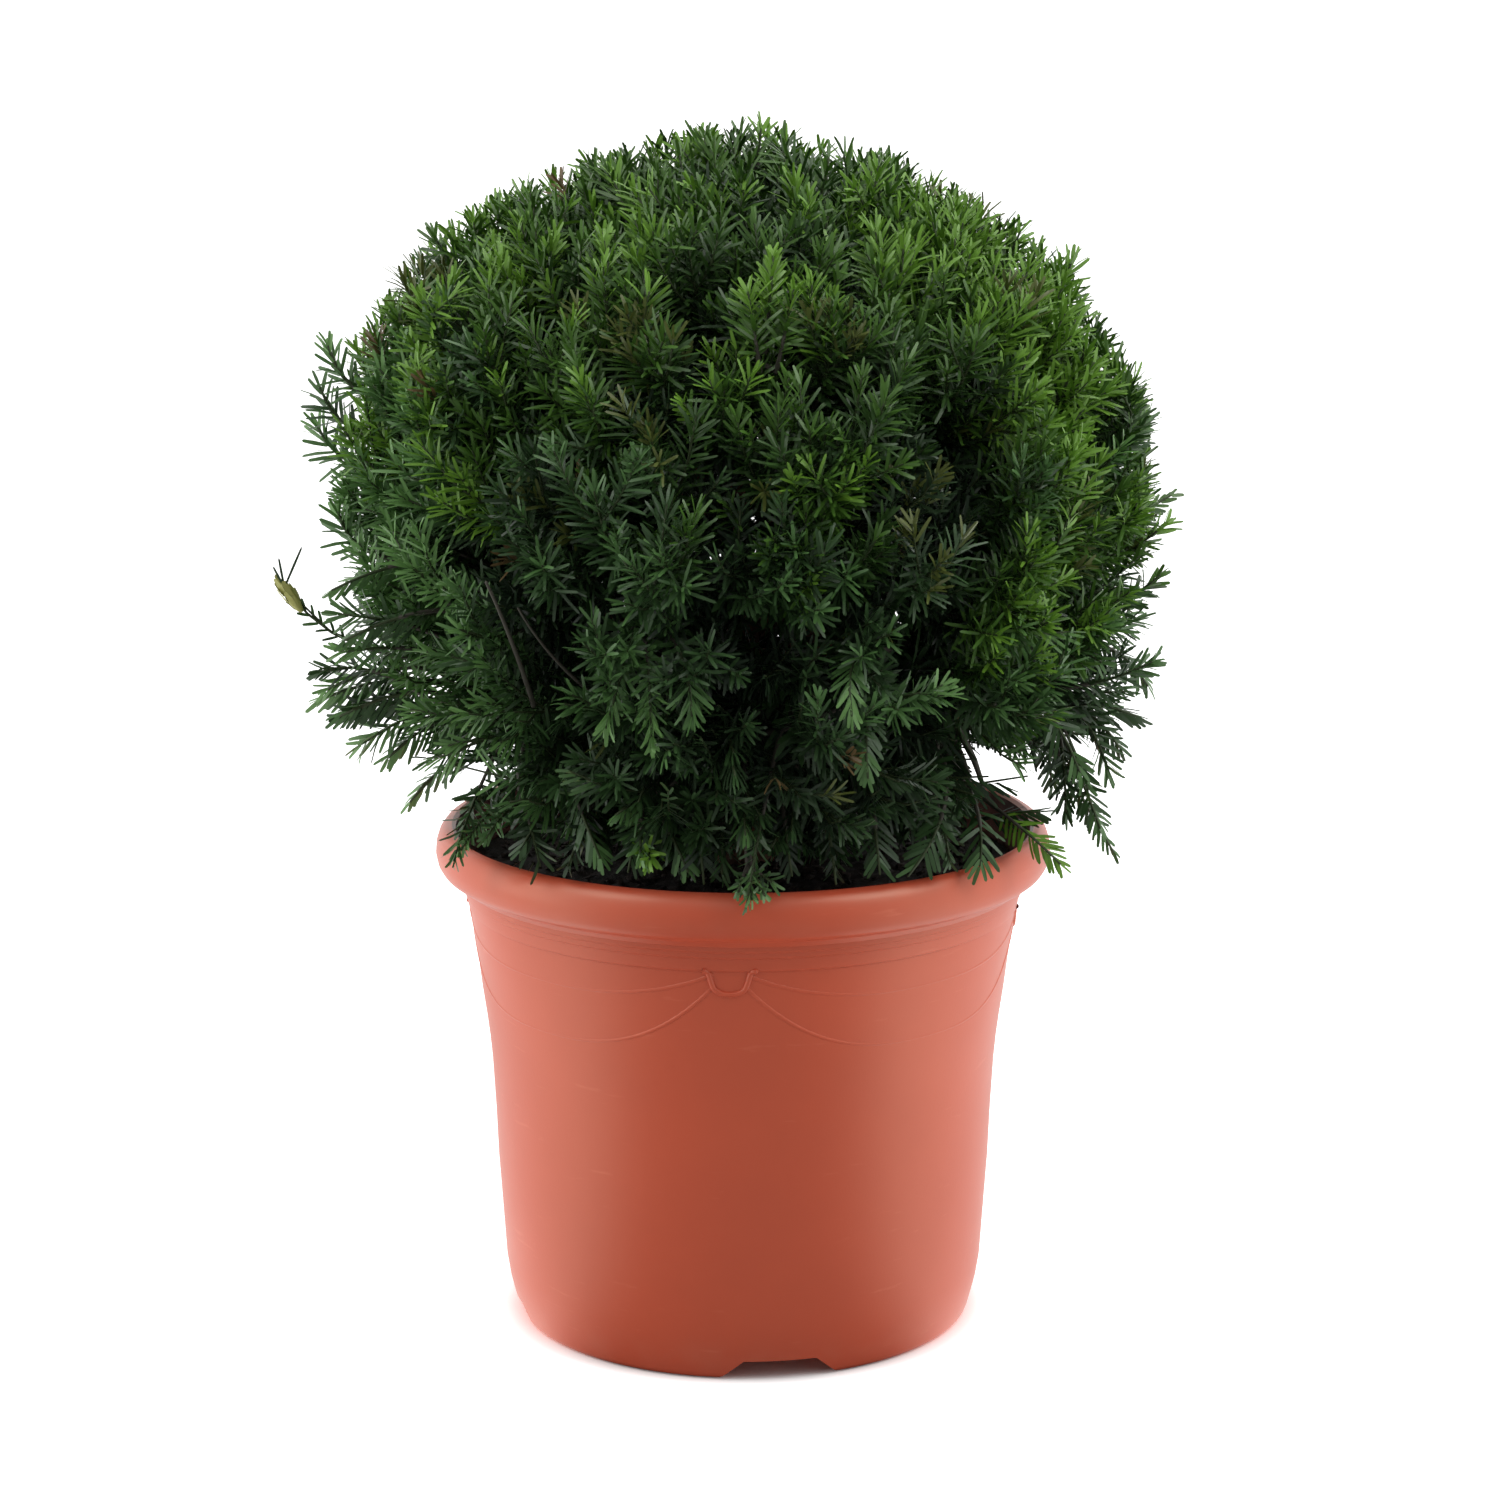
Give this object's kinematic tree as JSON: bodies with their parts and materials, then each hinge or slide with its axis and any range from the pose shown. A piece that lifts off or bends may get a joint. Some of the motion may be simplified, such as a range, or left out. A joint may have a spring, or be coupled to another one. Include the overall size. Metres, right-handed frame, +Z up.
{
  "type": "potted yew ball",
  "caption": "Yew clipped to a ball, with dense dark needles and loose lower sprays, in a terracotta-coloured round plastic pot with a rolled rim.",
  "frame": {"origin": "middle of the pot's flat foot, on the surface that it stands on", "axes": "+Z up, +X to the right as seen from the front, +Y away from the viewer"},
  "size_m": [0.4325, 0.3868, 0.5888],
  "materials": {
    "pot": "satin terracotta-coloured plastic",
    "potting_mix": "moist dark bark and peat crumbs",
    "bark": "flaking brown bark",
    "needles": "satin dark green needles"
  },
  "bodies": {
    "root": {"pot": "pot", "potting_mix": "potting_mix", "trunk": "bark", "bough_skirt_1": "bark", "foliage_skirt_1": "needles", "bough_skirt_2": "bark", "foliage_skirt_2": "needles", "bough_skirt_3": "bark", "foliage_skirt_3": "needles", "bough_skirt_4": "bark", "foliage_skirt_4": "needles", "bough_skirt_5": "bark", "foliage_skirt_5": "needles", "bough_skirt_6": "bark", "foliage_skirt_6": "needles", "bough_waist_1": "bark", "foliage_waist_1": "needles", "bough_waist_2": "bark", "foliage_waist_2": "needles", "bough_waist_3": "bark", "foliage_waist_3": "needles", "bough_waist_4": "bark", "foliage_waist_4": "needles", "bough_waist_5": "bark", "foliage_waist_5": "needles", "bough_waist_6": "bark", "foliage_waist_6": "needles", "bough_shoulder_1": "bark", "foliage_shoulder_1": "needles", "bough_shoulder_2": "bark", "foliage_shoulder_2": "needles", "bough_shoulder_3": "bark", "foliage_shoulder_3": "needles", "bough_shoulder_4": "bark", "foliage_shoulder_4": "needles", "bough_shoulder_5": "bark", "foliage_shoulder_5": "needles", "foliage_crown_top": "needles"}
  },
  "joints": []
}
